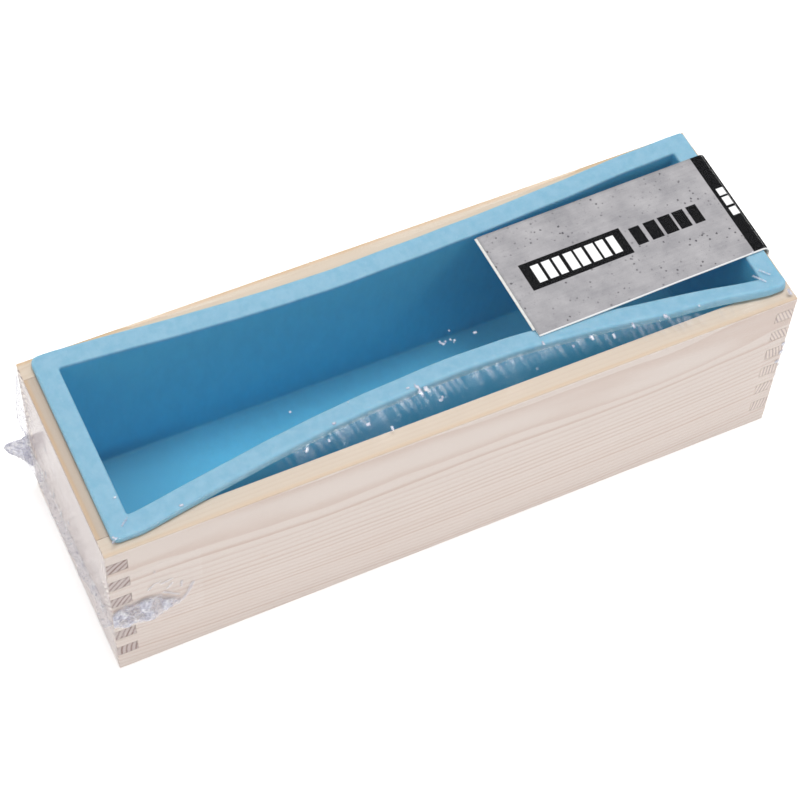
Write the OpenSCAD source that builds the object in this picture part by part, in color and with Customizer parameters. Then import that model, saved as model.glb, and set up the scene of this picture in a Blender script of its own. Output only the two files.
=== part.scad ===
// Soap loaf mould: a finger-jointed pine box, a silicone liner that hangs in it by
// its rim, a folded card label over the right end, and a shrink film sealed around
// all of it. The origin is the centre of the underside, where the mould rests.
// +X runs along the loaf to the label's end, -Y is the front and +Z is up.

/* [Box] */
// Outside length of the wooden box
box_l = 280; // [200:1:340]
// Outside width of the wooden box
box_w = 90; // [75:1:140]
// Height of the wooden box
box_h = 82; // [65:1:120]
// Thickness of the four walls
wall_t = 8; // [6:0.5:14]
// Height of one finger of the corner joints
finger_h = 6; // [4:0.5:15]
// Thickness of the base panel
base_t = 8; // [4:0.5:12]
// Height of the base panel above the lower edges of the walls
base_inset = 2; // [0:0.5:6]

/* [Liner] */
// Thickness of the liner's side walls
liner_t = 2; // [1.5:0.1:4]
// Thickness of the liner's floor
liner_floor_t = 3.4; // [1.5:0.1:6]
// Thickness of the liner's rim
rim_t = 3.6; // [2:0.1:6]
// Least distance from the rim's edge to the outer face of the box
rim_inset = 1.9; // [0.5:0.1:2.5]
// Outer corner radius of the rim
rim_r = 3; // [1:0.5:6]
// Corner radius of the cavity
cavity_r = 1; // [0.5:0.5:4]
// Space between the liner and the left end wall
gap_left = 3.1; // [0.3:0.1:3.5]
// Space between the liner and the right end wall
gap_right = 0.3; // [0.3:0.1:3.5]
// Space between the liner and the front wall
gap_front = 1.7; // [0.3:0.1:3.5]
// Space between the liner and the back wall
gap_back = 0.3; // [0.3:0.1:3.5]
// Space between the liner's floor and the base panel
gap_floor = 1.6; // [0.3:0.1:4]

/* [Label] */
// Length of the label's top panel
label_l = 101.5; // [60:0.5:150]
// Width of the label
label_w = 51; // [30:0.5:65]
// Distance of the label's centre line behind the box's
label_y = 2.5; // [-5:0.5:5]
// Length of the flap that hangs down the right end
flap_l = 50; // [20:1:60]
// Thickness of one ply of the card
card_t = 0.4; // [0.3:0.05:0.6]

/* [Film] */
// Thickness of the shrink film
film_t = 0.2; // [0.1:0.05:0.4]
// Height of the film's two end seals above the underside
seal_z = 31; // [20:1:50]
// Width of the sealed fin at each end
seal_w = 3; // [1:0.5:6]
// Space around the card, and between the film's sides and its top
film_gap = 0.3; // [0.2:0.05:0.6]

/* [Hidden] */
$fn = 48;
// Overrun of a cut past the face that it opens
cut = 1;

// Wooden box
box_z = film_t;
box_top = box_z + box_h;
inner_l = box_l - 2 * wall_t;
inner_w = box_w - 2 * wall_t;
finger_n = floor((box_h - finger_h) / (2 * finger_h));
base_z = box_z + base_inset;

// Liner: its body fills the box less the gaps, and its rim lies on the box
body_l = inner_l - gap_left - gap_right;
body_w = inner_w - gap_front - gap_back;
body_x = (gap_left - gap_right) / 2;
body_y = (gap_front - gap_back) / 2;
body_z = base_z + base_t + gap_floor;
body_r = cavity_r + liner_t;
rim_lip_l = wall_t + min(gap_left, gap_right) - rim_inset;
rim_lip_w = wall_t + min(gap_front, gap_back) - rim_inset;
rim_l = body_l + 2 * rim_lip_l;
rim_w = body_w + 2 * rim_lip_w;
rim_top = box_top + rim_t;

// Label: two plies on the rim, one ply down the right end
label_top = rim_top + 2 * card_t;
flap_x = box_l / 2 + film_gap;

// Film: clear of the card's flap on every side
film_off = 2 * film_gap + card_t;
film_in_l = box_l + 2 * film_off;
film_in_w = box_w + 2 * film_off;
film_in_top = label_top + film_gap;

// Lower edge of the end walls' k-th finger, counted from the top
function finger_z(k) = box_top - 2 * k * finger_h;

// A block centred on the Z axis, standing on z = 0
module block(l, w, h) {
    translate([-l / 2, -w / 2, 0])
        cube([l, w, h]);
}

// The same block with its four upright edges rounded
module rounded_block(l, w, h, r) {
    block(l - 2 * r, w, h);
    block(l, w - 2 * r, h);
    for (x = [-1, 1], y = [-1, 1])
        translate([x * (l / 2 - r), y * (w / 2 - r), 0])
            cylinder(r = r, h = h);
}

// One long wall, slotted at both ends for the end walls' fingers
module long_wall(side) {
    difference() {
        translate([0, side * (box_w - wall_t) / 2, box_z])
            block(box_l, wall_t, box_h);
        for (x = [-1, 1], k = [1:finger_n])
            translate([x * (box_l - wall_t + cut) / 2, side * (box_w - wall_t) / 2, finger_z(k)])
                block(wall_t + cut, wall_t + 2 * cut, finger_h);
    }
}

// One end wall, whose fingers reach the outer faces of the long walls
module end_wall(side) {
    translate([side * (box_l - wall_t) / 2, 0, 0]) {
        translate([0, 0, box_z])
            block(wall_t, inner_w, box_h);
        for (k = [1:finger_n])
            translate([0, 0, finger_z(k)])
                block(wall_t, box_w, finger_h);
    }
}

module front_wall() {
    color("antiquewhite") long_wall(-1);
}

module back_wall() {
    color("antiquewhite") long_wall(1);
}

module left_end_wall() {
    color("bisque") end_wall(-1);
}

module right_end_wall() {
    color("bisque") end_wall(1);
}

module base_panel() {
    color("wheat")
        translate([0, 0, base_z])
            block(inner_l, inner_w, base_t);
}

module silicone_liner() {
    color("skyblue")
        translate([body_x, body_y, 0])
            difference() {
                union() {
                    translate([0, 0, body_z])
                        rounded_block(body_l, body_w, rim_top - body_z, body_r);
                    translate([0, 0, box_top])
                        rounded_block(rim_l, rim_w, rim_t, rim_r);
                }
                translate([0, 0, body_z + liner_floor_t])
                    rounded_block(body_l - 2 * liner_t, body_w - 2 * liner_t, box_h, cavity_r);
            }
}

module card_label() {
    color("darkgray") {
        translate([flap_x + card_t - label_l, label_y - label_w / 2, rim_top])
            cube([label_l, label_w, 2 * card_t]);
        translate([flap_x, label_y - label_w / 2, label_top - flap_l])
            cube([card_t, label_w, flap_l]);
    }
}

// The film's outline as a solid block
module film_block(h) {
    block(film_in_l + 2 * film_t, film_in_w + 2 * film_t, h);
}

// The film under the box and up its sides, with a sealed fin of two layers at each end
module film_wrap() {
    color([0.85, 0.92, 0.96, 0.35]) {
        difference() {
            film_block(film_in_top - film_gap);
            translate([0, 0, film_t])
                block(film_in_l, film_in_w, film_in_top);
        }
        for (x = [-1, 1])
            translate([x * (film_in_l / 2 + film_t + seal_w / 2), 0, seal_z])
                block(seal_w, film_in_w, 2 * film_t);
    }
}

// The film over the rim and the label, cut free along its edges
module film_top() {
    color([0.85, 0.92, 0.96, 0.35])
        translate([0, 0, film_in_top])
            film_block(film_t);
}

front_wall();
back_wall();
left_end_wall();
right_end_wall();
base_panel();
silicone_liner();
card_label();
film_wrap();
film_top();
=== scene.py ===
"""Looks of a soap loaf mould: a finger-jointed pine box, the silicone liner that hangs
in it, a folded card label over its right end, and the shrink film around all of it.

Lengths are in millimetres inside the classes and become metres in the meshes.
"""

import logging
import math
from collections.abc import Sequence
from dataclasses import dataclass, field
from enum import Enum
from typing import Any, Optional, Union

import bmesh
import bpy
import numpy as np
from mathutils import Matrix, Vector
from mathutils.bvhtree import BVHTree


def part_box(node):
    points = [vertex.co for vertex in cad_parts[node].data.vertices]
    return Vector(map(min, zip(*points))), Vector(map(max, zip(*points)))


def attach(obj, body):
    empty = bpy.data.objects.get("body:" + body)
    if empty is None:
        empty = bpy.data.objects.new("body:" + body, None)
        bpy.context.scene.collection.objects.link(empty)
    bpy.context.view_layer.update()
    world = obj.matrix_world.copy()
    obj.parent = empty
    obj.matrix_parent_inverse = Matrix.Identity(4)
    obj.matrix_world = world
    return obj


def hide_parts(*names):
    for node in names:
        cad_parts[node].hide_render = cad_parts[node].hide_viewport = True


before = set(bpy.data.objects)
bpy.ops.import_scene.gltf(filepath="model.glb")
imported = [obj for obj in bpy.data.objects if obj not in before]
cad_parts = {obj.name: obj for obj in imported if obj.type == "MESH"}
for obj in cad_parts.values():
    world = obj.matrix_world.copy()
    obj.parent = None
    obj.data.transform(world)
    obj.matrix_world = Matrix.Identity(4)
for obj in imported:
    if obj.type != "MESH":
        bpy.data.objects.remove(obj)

LOG = logging.getLogger("loaf_mould")
MM = 0.001
Colour = tuple[float, float, float]
Value = Union["Socket", float, Sequence[float]]


def linear(red: float, green: float, blue: float) -> Colour:
    """The linear colour of a screen colour.

    Args:
        red: red from 0 to 255.
        green: green from 0 to 255.
        blue: blue from 0 to 255.

    Returns:
        Three linear values from 0 to 1.
    """
    def one(value: float) -> float:
        """One channel of the colour."""
        share = value / 255.0
        return share / 12.92 if share <= 0.04045 else ((share + 0.055) / 1.055) ** 2.4

    return one(red), one(green), one(blue)


class Socket:
    """A value in a material, with the arithmetic operators."""

    def __init__(self, shader: "Shader", out: bpy.types.NodeSocket) -> None:
        """Keeps the material that the value is in, and its output socket."""
        self.shader = shader
        self.out = out

    def _sum(self, operation: str, *values: Value) -> "Socket":
        """Adds one Math node, or one Vector Math node where a side is a vector.

        Args:
            operation: the node's operation.
            values: its sockets' values or links, in order.

        Returns:
            The node's result.
        """
        vector = any(isinstance(v, Socket) and v.out.type == "VECTOR" for v in values)
        kind = "ShaderNodeVectorMath" if vector else "ShaderNodeMath"
        return self.shader.node(kind, {"operation": operation}, dict(enumerate(values)))

    def __add__(self, other: Value) -> "Socket":
        """This value plus another."""
        return self._sum("ADD", self, other)

    def __radd__(self, other: Value) -> "Socket":
        """Another value plus this one."""
        return self._sum("ADD", other, self)

    def __sub__(self, other: Value) -> "Socket":
        """This value less another."""
        return self._sum("SUBTRACT", self, other)

    def __rsub__(self, other: Value) -> "Socket":
        """Another value less this one."""
        return self._sum("SUBTRACT", other, self)

    def __mul__(self, other: Value) -> "Socket":
        """This value times another."""
        return self._sum("MULTIPLY", self, other)

    def __rmul__(self, other: Value) -> "Socket":
        """Another value times this one."""
        return self._sum("MULTIPLY", other, self)

    def __truediv__(self, other: Value) -> "Socket":
        """This value over another."""
        return self._sum("DIVIDE", self, other)

    def __pow__(self, other: float) -> "Socket":
        """This value to a power."""
        return self._sum("POWER", self, other)

    def floor(self) -> "Socket":
        """The whole number below this value."""
        return self._sum("FLOOR", self)

    def fract(self) -> "Socket":
        """What is left of this value past the whole number below it."""
        return self._sum("FRACT", self)

    def size(self) -> "Socket":
        """This value without its sign."""
        return self._sum("ABSOLUTE", self)

    def root(self) -> "Socket":
        """The square root of this value."""
        return self._sum("SQRT", self)

    def smooth(self, low: float, high: float) -> "Socket":
        """A smooth step from 0 at one value to 1 at another.

        Args:
            low: where the step starts.
            high: where it ends, which may be below its start.

        Returns:
            The step's height.
        """
        flip = low > high
        step = self.shader.node(
            "ShaderNodeMapRange", {"interpolation_type": "SMOOTHSTEP"},
            {"Value": self, "From Min": min(low, high), "From Max": max(low, high)})
        return 1.0 - step if flip else step

    def inside(self, low: float, high: float, soft: float) -> "Socket":
        """One between two values, with soft edges, and zero outside them."""
        return self.smooth(low - soft, low + soft) * self.smooth(high + soft, high - soft)

    def xyz(self) -> tuple["Socket", "Socket", "Socket"]:
        """The three parts of this vector."""
        parts = self.shader.node("ShaderNodeSeparateXYZ", {}, {0: self}).out.node.outputs
        return tuple(Socket(self.shader, part) for part in parts)


class Shader:
    """One material under construction, and the nodes in it."""

    def __init__(self, name: str) -> None:
        """Starts an empty material.

        Args:
            name: the material's name.
        """
        self.material = bpy.data.materials.new(name)
        self.material.use_nodes = True
        self.tree = self.material.node_tree
        self.tree.nodes.clear()

    def node(
        self, kind: str, settings: Optional[dict[str, Any]] = None,
        inputs: Optional[dict[Union[str, int], Value]] = None, output: Union[str, int] = 0,
    ) -> Socket:
        """Adds one node.

        Args:
            kind: the node's type.
            settings: its own settings, set first. "stops" is a ramp's list of
                (place, colour).
            inputs: its sockets' values or links, by name or number.
            output: which output is wanted.

        Returns:
            That output.
        """
        made = self.tree.nodes.new(kind)
        for name, value in (settings or {}).items():
            if name == "stops":
                ramp = made.color_ramp.elements
                while len(ramp) < len(value):
                    ramp.new(1.0)
                for stop, (place, colour) in zip(ramp, value):
                    stop.position = place
                    stop.color = (*colour, 1.0)
            else:
                setattr(made, name, value)
        for key, value in (inputs or {}).items():
            self.feed(made.inputs[key], value)
        return Socket(self, made.outputs[output])

    def feed(self, socket: bpy.types.NodeSocket, value: Value) -> None:
        """Links a value to a socket, or sets it there.

        Args:
            socket: the input.
            value: a value of the material, a number, or a few numbers.
        """
        if isinstance(value, Socket):
            self.tree.links.new(value.out, socket)
        elif socket.type == "VECTOR" and isinstance(value, (int, float)):
            socket.default_value = (value, value, value)
        elif socket.type == "RGBA":
            socket.default_value = (*value[:3], 1.0)
        else:
            socket.default_value = value

    def place(self) -> Socket:
        """The place on the object, in millimetres, in the frame of the whole mould."""
        return self.node("ShaderNodeTexCoord", output="Object") * 1000.0

    def facing(self) -> Socket:
        """The surface's own direction."""
        return self.node("ShaderNodeTexCoord", output="Normal")

    def vector(self, x: Value, y: Value, z: Value) -> Socket:
        """A vector of three values."""
        return self.node("ShaderNodeCombineXYZ", {}, {0: x, 1: y, 2: z})

    def noise(self, at: Socket, scale: float, detail: float = 2.0, rough: float = 0.5) -> Socket:
        """Smooth noise around one half.

        Args:
            at: where it is read.
            scale: how many grains there are to a unit.
            detail: how many finer layers it has.
            rough: how strong those are.

        Returns:
            The noise.
        """
        return self.node(
            "ShaderNodeTexNoise", {"noise_dimensions": "3D"},
            {"Vector": at, "Scale": scale, "Detail": detail, "Roughness": rough})

    def pits(self, at: Socket, scale: float) -> Socket:
        """The distance to the nearest of many scattered points."""
        return self.node("ShaderNodeTexVoronoi", {}, {"Vector": at, "Scale": scale})

    def dice(self, number: Socket) -> Socket:
        """A steady random value for each number."""
        return self.node("ShaderNodeTexWhiteNoise", {"noise_dimensions": "1D"}, {"W": number})

    def mix(self, under: Value, over: Value, share: Value, blend: str = "MIX") -> Socket:
        """One colour over another.

        Args:
            under: the colour below.
            over: the colour on it.
            share: how much of the upper one shows.
            blend: how the two meet.

        Returns:
            The colour.
        """
        return self.node(
            "ShaderNodeMix", {"data_type": "RGBA", "blend_type": blend, "clamp_factor": True},
            {0: share, 6: under, 7: over}, 2)

    def ramp(self, value: Socket, stops: Sequence[tuple[float, Colour]]) -> Socket:
        """A colour for each value.

        Args:
            value: the value that picks the colour.
            stops: the ramp's places and colours.

        Returns:
            The colour.
        """
        return self.node("ShaderNodeValToRGB", {"stops": stops}, {0: value})

    def bump(self, height: Socket, distance: float, under: Optional[Socket] = None) -> Socket:
        """The surface's direction with small heights on it.

        Args:
            height: the height, from 0 to 1.
            distance: the real height of 1, in millimetres.
            under: an earlier bump to add to.

        Returns:
            The new direction.
        """
        inputs: dict[Union[str, int], Value] = {"Height": height, "Distance": distance * MM}
        if under is not None:
            inputs["Normal"] = under
        return self.node("ShaderNodeBump", {}, inputs)

    def body(self, **inputs: Value) -> Socket:
        """The main shader, with its sockets named by words joined with _."""
        named = {name.replace("_", " ").title(): v for name, v in inputs.items()}
        fixed = {"Ior": "IOR", "Specular Ior Level": "Specular IOR Level"}
        return self.node(
            "ShaderNodeBsdfPrincipled", {}, {fixed.get(k, k): v for k, v in named.items()})

    def finish(self, surface: Socket) -> bpy.types.Material:
        """Ends the material with this surface."""
        end = self.tree.nodes.new("ShaderNodeOutputMaterial")
        self.tree.links.new(surface.out, end.inputs["Surface"])
        return self.material


class Grain(Enum):
    """The way a board's fibres run."""

    LENGTH = "length"
    WIDTH = "width"


@dataclass(frozen=True)
class PineFinish:
    """Planed, unoiled pine, cut from a log whose heart lies at the pith."""

    name: str
    grain: Grain
    pith: tuple[float, float]
    ring: float
    crown: float
    seed: float
    early: Colour
    late: Colour
    end: Colour
    depth: float
    crest: Colour
    edge_at: float = 0.0
    edge_tan: float = 0.5
    top_at: float = 82.2

    def make(self) -> bpy.types.Material:
        """Builds the material.

        Returns:
            The material, whose rings, fibres and end grain follow the board.
        """
        s = Shader(self.name)
        place = s.place()
        x, y, z = place.xyz()
        along, across = (x, y) if self.grain is Grain.LENGTH else (y, x)
        seeded = s.vector(along * 0.004 + self.seed, across * 0.018, z * 0.022)
        wander = s.noise(seeded, 1.0, 2.0) - 0.5
        rippled = s.vector(along * 0.03 + self.seed, across * 0.12, z * 0.12)
        ripple = s.noise(rippled, 1.0, 1.0) - 0.5
        lift = along / 135.0
        side = across - self.pith[0]
        rise = z - self.pith[1] - lift * lift * self.crown
        radius = (side * side + rise * rise).root() + wander * 9.0 + ripple * 0.7
        count = radius / self.ring
        part = count.fract()
        strength = s.dice(count.floor()) * 0.7 + 0.3
        late = part.smooth(0.35, 0.92) * part.smooth(1.0, 0.93) * strength
        fibre = s.noise(s.vector(along * 0.02 + self.seed, across * 0.8, z * 0.8), 1.0, 2.0, 0.5)
        hair = s.noise(s.vector(along * 0.12, across * 4.5 + self.seed, z * 4.5), 1.0, 2.0, 0.6)
        cloud = s.noise(s.vector(along * 0.012, across * 0.05, z * 0.05 + self.seed), 1.0, 2.0)
        duct = s.noise(s.vector(along * 0.16, across * 1.9, z * 1.9 + self.seed), 1.0, 1.0)
        shade = late * self.depth + (fibre - 0.5) * 0.14 + (hair - 0.5) * 0.02
        colour = s.mix(self.early, self.late, shade.smooth(-0.12, 1.0))
        colour = s.mix(colour, self.late, (cloud - 0.5).smooth(0.02, 0.35) * 0.22)
        colour = s.mix(colour, linear(196, 160, 128), duct.smooth(0.735, 0.80) * 0.5)
        colour = self._end_grain(s, colour, part, strength, hair)
        colour = self._edges(s, colour, across, z, fibre)
        height = late * 0.7 + fibre * 0.3
        return s.finish(
            s.body(
                base_color=colour, roughness=0.5 + fibre * 0.16, specular_ior_level=0.35,
                normal=s.bump(height, 0.02)))

    def _end_grain(
        self, s: Shader, colour: Socket, part: Socket, strength: Socket, hair: Socket
    ) -> Socket:
        """Cut fibres, where only the late wood of each ring is dark.

        Args:
            s: the material.
            colour: the board's colour.
            part: the place within a ring.
            strength: how dark each ring is.
            hair: fine noise.

        Returns:
            The colour with the board's ends.
        """
        nx, ny, _ = s.facing().xyz()
        cut = (nx if self.grain is Grain.LENGTH else ny).size().smooth(0.6, 0.9)
        dark = part.smooth(0.42, 0.62) * part.smooth(0.98, 0.84) * (strength * 0.5 + 0.5)
        dark = dark * (0.55 + hair * 0.9)
        return s.mix(colour, s.mix(self.early, self.end, dark), cut)

    def _edges(
        self, s: Shader, colour: Socket, across: Socket, z: Socket, fibre: Socket
    ) -> Socket:
        """The warm tan line along the outer top edge.

        Args:
            s: the material.
            colour: the board's colour.
            across: the place across the board.
            z: the height.
            fibre: fibre noise, which frays the line.

        Returns:
            The colour with that edge.
        """
        if not self.edge_at:
            return colour
        sign = math.copysign(1.0, self.edge_at)
        gap = abs(self.edge_at) - across * sign + (fibre - 0.5) * 1.2
        line = gap.smooth(2.1, 0.9) * z.smooth(self.top_at - 0.5, self.top_at - 0.05)
        top = z.smooth(self.top_at - 0.3, self.top_at - 0.02) * 0.7
        colour = s.mix(colour, self.crest, top)
        return s.mix(colour, linear(214, 172, 118), line * self.edge_tan)


@dataclass(frozen=True)
class SiliconeFinish:
    """Satin sky-blue silicone, clear and deep below, paler on top of the rim from dust and painted
    film haze, with a painted glow on the outer wall and painted shade on the cavity floor's left
    end.
    """

    top_at: float
    name: str = "silicone_blue"
    light: Colour = linear(106, 200, 232)
    deep: Colour = linear(103, 194, 226)
    # Painted light: the outer wall's brighter, more saturated blue stands for light shining
    # through the silicone.
    outside: Colour = linear(84, 190, 230)
    # The rim's top and outer flange take a paler, greyer copy of the blue: partly dust, partly
    # painted haze standing for the film's sheen over the rim.
    dust_and_haze_light: Colour = linear(147, 190, 212)
    dust_and_haze_deep: Colour = linear(133, 182, 206)

    def make(self) -> bpy.types.Material:
        """Builds the material.

        Returns:
            The material.
        """
        s = Shader(self.name)
        place = s.place()
        x, y, z = place.xyz()
        flow = s.noise(s.vector(x * 0.2, y * 0.2, z * 0.08), 1.0, 3.0, 0.6)
        streak = s.noise(s.vector(x * 0.45, y * 0.35, z * 0.2), 1.0, 3.0, 0.65)
        fine = s.noise(place, 2.2, 2.0)
        shade = (flow * 0.6 + streak * 0.4).smooth(0.34, 0.66)
        nx, ny, _ = s.facing().xyz()
        outward = (nx * x + ny * y).smooth(2.0, 12.0)
        rim = outward * z.smooth(self.top_at - 4.4, self.top_at - 3.6)
        top = z.smooth(self.top_at - 2.2, self.top_at - 0.2)
        upper = top + rim - top * rim
        dust = s.noise(place, 0.9, 3.0, 0.7).smooth(0.60, 0.75) * upper
        outer = outward * z.smooth(self.top_at - 3.6, self.top_at - 4.4)
        colour = s.mix(
            s.mix(s.mix(self.deep, self.light, shade), self.outside, outer),
            s.mix(self.dust_and_haze_deep, self.dust_and_haze_light, shade), upper)
        colour = s.mix(colour, linear(176, 208, 226), dust * 0.35)
        # Painted shade: the cavity floor darkens toward its left end.
        painted_floor_shade = z.smooth(26.0, 16.0) * x.smooth(-66.0, -122.0) * (1.0 - outer)
        colour = s.mix(colour, linear(84, 160, 190), painted_floor_shade * 0.85)
        # Painted glow: emission on the outer wall and on the rim's tucked side at the front stands
        # for light passing through the silicone, though the liner is no lamp.
        glowing_rim_side = rim * (1.0 - top) * y.inside(-37.5, -14.0, 3.5)
        painted_glow = outer * z.smooth(self.top_at - 40.0, self.top_at - 6.0)
        painted_glow = painted_glow + glowing_rim_side * 0.9
        return s.finish(
            s.body(
                base_color=colour, roughness=0.5 + flow * 0.12, specular_ior_level=0.22,
                subsurface_weight=0.45, subsurface_radius=(0.4, 0.8, 1.0), subsurface_scale=0.004,
                emission_color=s.mix((0.0, 0.0, 0.0), (0.018, 0.075, 0.105), painted_glow),
                emission_strength=1.0, normal=s.bump(fine * 0.5 + flow * 0.5, 0.05)))


@dataclass(frozen=True)
class PrintLayout:
    """Where the label's printed blocks lie, from its left and front edges."""

    badge: tuple[float, float, float, float] = (8.3, 52.0, 19.4, 32.4)
    word: tuple[float, float, float, float] = (54.6, 86.4, 21.6, 30.4)
    strip_from: float = 94.4
    marks: tuple[float, float, float, float] = (96.0, 99.1, 18.8, 34.6)


@dataclass(frozen=True)
class CardFinish:
    """Coated card with a cast-concrete print and rows of plain blocks."""

    name: str = "card_print"
    layout: PrintLayout = PrintLayout()

    def make(self) -> bpy.types.Material:
        """Builds the printed face.

        Returns:
            The material.
        """
        s = Shader(self.name)
        flat = s.node("ShaderNodeUVMap", {"uv_map": "sheet"}) * 1000.0
        u, v, _ = flat.xyz()
        colour = self._concrete(s, flat, u, v)
        ink = linear(7, 7, 8)
        paper = linear(250, 250, 250)
        left, right, low, high = self.layout.badge
        badge = u.inside(left, right, 0.12) * v.inside(low, high, 0.12)
        strip = u.smooth(self.layout.strip_from - 0.1, self.layout.strip_from + 0.1)
        row = self._blocks(s, u, v, (left + 3.6, right - 2.6, low + 2.4, high - 2.2), 8, 0.2)
        word = self._blocks(s, u, v, self.layout.word, 5, 0.7)
        start, stop, near, far = self.layout.marks
        marks = self._blocks(s, v, u, (near, far, start, stop), 3, 0.4)
        colour = s.mix(colour, ink, badge)
        colour = s.mix(colour, paper, row)
        colour = s.mix(colour, ink, word)
        colour = s.mix(colour, ink, strip)
        colour = s.mix(colour, paper, marks)
        colour = s.mix(colour, paper, v.smooth(0.75, 0.45))
        tooth = s.noise(flat, 3.0, 2.0)
        return s.finish(
            s.body(
                base_color=colour, roughness=0.42 + tooth * 0.16, specular_ior_level=0.05,
                normal=s.bump(tooth, 0.015)))

    def _concrete(self, s: Shader, flat: Socket, u: Socket, v: Socket) -> Socket:
        """Grey print with clouds, trowel streaks, pits and specks.

        Args:
            s: the material.
            flat: the place on the flat card.
            u: the place along it.
            v: the place across it.

        Returns:
            The print's colour.
        """
        cloud = s.noise(flat, 0.07, 4.0, 0.62)
        trowel = s.noise(s.vector(u * 0.05, v * 0.9, 0.0), 1.0, 3.0, 0.6)
        sand = s.noise(flat, 2.6, 2.0, 0.7)
        tone = cloud * 0.62 + trowel * 0.16 + sand * 0.22
        greys = [(0.34, linear(148, 147, 151)), (0.5, linear(170, 168, 171)),
                 (0.66, linear(188, 186, 188))]
        colour = s.ramp(tone, greys)
        where = s.noise(flat, 0.11, 2.0).smooth(0.40, 0.62)
        pit = s.pits(flat + s.noise(flat, 1.5) * 0.6, 0.42).smooth(0.27, 0.10)
        speck = s.pits(flat, 0.95).smooth(0.20, 0.10)
        spare = s.noise(flat, 0.5, 1.0).smooth(0.52, 0.60)
        colour = s.mix(colour, linear(84, 82, 86), pit * where * 0.95)
        return s.mix(colour, linear(118, 116, 120), speck * spare * 0.75)

    def _blocks(
        self, s: Shader, along: Socket, across: Socket, area: tuple[float, float, float, float],
        count: int, seed: float,
    ) -> Socket:
        """A row of plain blocks of uneven width in place of lettering.

        Args:
            s: the material.
            along: the place along the row.
            across: the place across it.
            area: where the row starts and ends, and its two edges.
            count: how many blocks there are.
            seed: what sets the blocks' widths.

        Returns:
            One on the blocks and zero elsewhere.
        """
        start, stop, low, high = area
        pitch = (stop - start) / count
        cell = (along - start) / pitch
        part = cell.fract()
        luck = s.dice(cell.floor() + seed)
        solid = along.inside(start, stop, 0.05) * across.inside(low, high, 0.1)
        wide = 0.72 + 0.22 * luck
        return solid * part.smooth(0.06, 0.10) * (wide - part).smooth(-0.02, 0.02)


@dataclass(frozen=True)
class CoreFinish:
    """The white, unprinted faces and cut edges of the card."""

    name: str = "card_core"

    def make(self) -> bpy.types.Material:
        """Builds the material.

        Returns:
            The material.
        """
        s = Shader(self.name)
        fibre = s.noise(s.place(), 1.8, 3.0, 0.65)
        colour = s.mix(linear(236, 232, 226), linear(252, 250, 246), fibre.smooth(0.3, 0.7))
        return s.finish(
            s.body(base_color=colour, roughness=0.75 + fibre * 0.1, normal=s.bump(fibre, 0.03)))


@dataclass(frozen=True)
class FilmFinish:
    """Clear shrink film: a thin gloss, milky where it is crumpled and where highlights are
    painted.
    """

    name: str = "film_clear"
    gloss: float = 0.05
    haze: float = 0.005
    milk: float = 0.85
    shade: Colour = linear(184, 185, 204)
    tone: Colour = linear(216, 217, 231)
    light: Colour = linear(250, 250, 254)

    def make(self) -> bpy.types.Material:
        """Builds the material.

        Returns:
            The material, whose crumpled parts and painted highlights come from the mesh's own
            marks.
        """
        s = Shader(self.name)
        place = s.place()
        crease = s.node("ShaderNodeAttribute", {"attribute_name": "crease"}, output="Fac")
        wave = s.noise(place, 0.35, 3.0, 0.6)
        fine = s.noise(place, 1.1, 2.0, 0.6)
        normal = s.bump(wave * 0.6 + fine * 0.4, 0.12)
        tilt = s.node("ShaderNodeLayerWeight", {}, {"Blend": 0.5, "Normal": normal}, "Facing")
        rim = 0.002 + (tilt ** 5.0) * 0.35
        clear = s.node("ShaderNodeBsdfTransparent", {}, {"Color": (1.0, 1.0, 1.0)})
        shine = s.node(
            "ShaderNodeBsdfGlossy", {},
            {"Color": (1.0, 1.0, 1.0), "Roughness": 0.09, "Normal": normal})
        fleck = s.noise(place, 0.75, 2.0, 0.6)
        tuft = s.noise(place, 0.3, 2.0, 0.6)
        # The milky tint runs by noise from a painted shade to a painted highlight, for the light
        # and shade on crumpled film.
        tint = s.ramp(
            tuft * 0.55 + fleck * 0.45,
            [(0.36, self.shade), (0.50, self.tone), (0.63, self.light)])
        milky = s.body(base_color=tint, roughness=0.5, specular_ior_level=0.3, normal=normal)
        # The crease marks set how milky white the film is; at the glint spots this milk is a
        # painted highlight.
        milk = (crease * (0.7 + fleck * 0.6) - 0.05).smooth(0.0, 1.0) * self.milk + self.haze
        body = s.node("ShaderNodeMixShader", {}, {0: milk, 1: clear, 2: milky})
        gloss = rim + crease * fleck * self.gloss
        return s.finish(s.node("ShaderNodeMixShader", {}, {0: gloss, 1: body, 2: shine}))


def closed_piece(
    name: str, points: np.ndarray, faces: Sequence[Sequence[int]],
    materials: Sequence[bpy.types.Material], picks: Optional[Sequence[int]] = None,
) -> bpy.types.Object:
    """One closed, smoothly shaded piece, with its faces turned outward.

    Args:
        name: the piece's name.
        points: its points in millimetres.
        faces: its faces' points.
        materials: what it is made of.
        picks: which material each face has.

    Returns:
        The piece.
    """
    mesh = bpy.data.meshes.new(name)
    mesh.from_pydata((points * MM).tolist(), [], [list(f) for f in faces])
    for material in materials:
        mesh.materials.append(material)
    if picks is not None:
        mesh.polygons.foreach_set("material_index", np.asarray(picks, np.int32))
    work = bmesh.new()
    work.from_mesh(mesh)
    bmesh.ops.recalc_face_normals(work, faces=work.faces)
    work.to_mesh(mesh)
    work.free()
    mesh.polygons.foreach_set("use_smooth", np.full(len(mesh.polygons), True))
    piece = bpy.data.objects.new(name, mesh)
    bpy.context.scene.collection.objects.link(piece)
    return piece


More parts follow.
